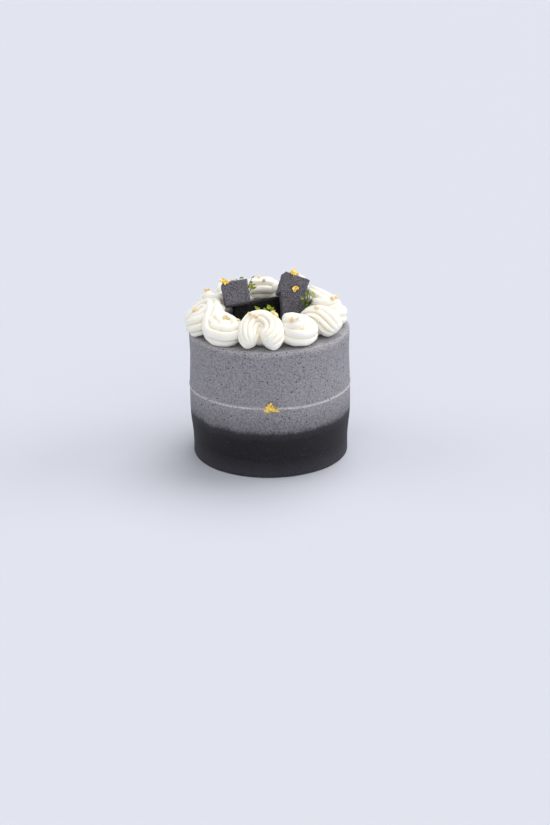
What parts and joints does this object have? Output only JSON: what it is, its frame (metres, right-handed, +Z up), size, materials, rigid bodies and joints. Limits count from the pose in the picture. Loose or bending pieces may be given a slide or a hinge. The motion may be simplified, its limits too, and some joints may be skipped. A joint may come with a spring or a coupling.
{
  "type": "sponge cake",
  "caption": "Tall round sponge cake with a smooth grey coat fading to charcoal, a ring of piped cream swirls, cut dark sponge pieces, green sprigs, nut bits and gold leaf on top.",
  "frame": {"origin": "On the flat underside, under the middle of the cake, where the bounding box's bottom face has its centre.", "axes": "+Z up, front of the picture is -Y, viewer's right is +X."},
  "size_m": [0.1556, 0.1554, 0.1744],
  "materials": {
    "coat": "smooth matt cream coat, charcoal near the foot",
    "cream": "whipped cream with a soft sheen",
    "sponge": "dark open crumb, matt",
    "leaf": "fresh green leaf, satin"
  },
  "bodies": {
    "root": {"cake_body": "coat", "swirl_01": "cream", "swirl_02": "cream", "swirl_03": "cream", "swirl_04": "cream", "swirl_05": "cream", "swirl_06": "cream", "swirl_07": "cream", "swirl_08": "cream", "swirl_09": "cream", "swirl_10": "cream", "swirl_11": "cream", "sponge_left": "sponge", "sponge_upper": "sponge", "sponge_lower": "sponge", "sponge_slab": "sponge", "sprig_left": "leaf", "sprig_front": "leaf", "sprig_right": "leaf", "sprig_back": "leaf"}
  },
  "joints": []
}
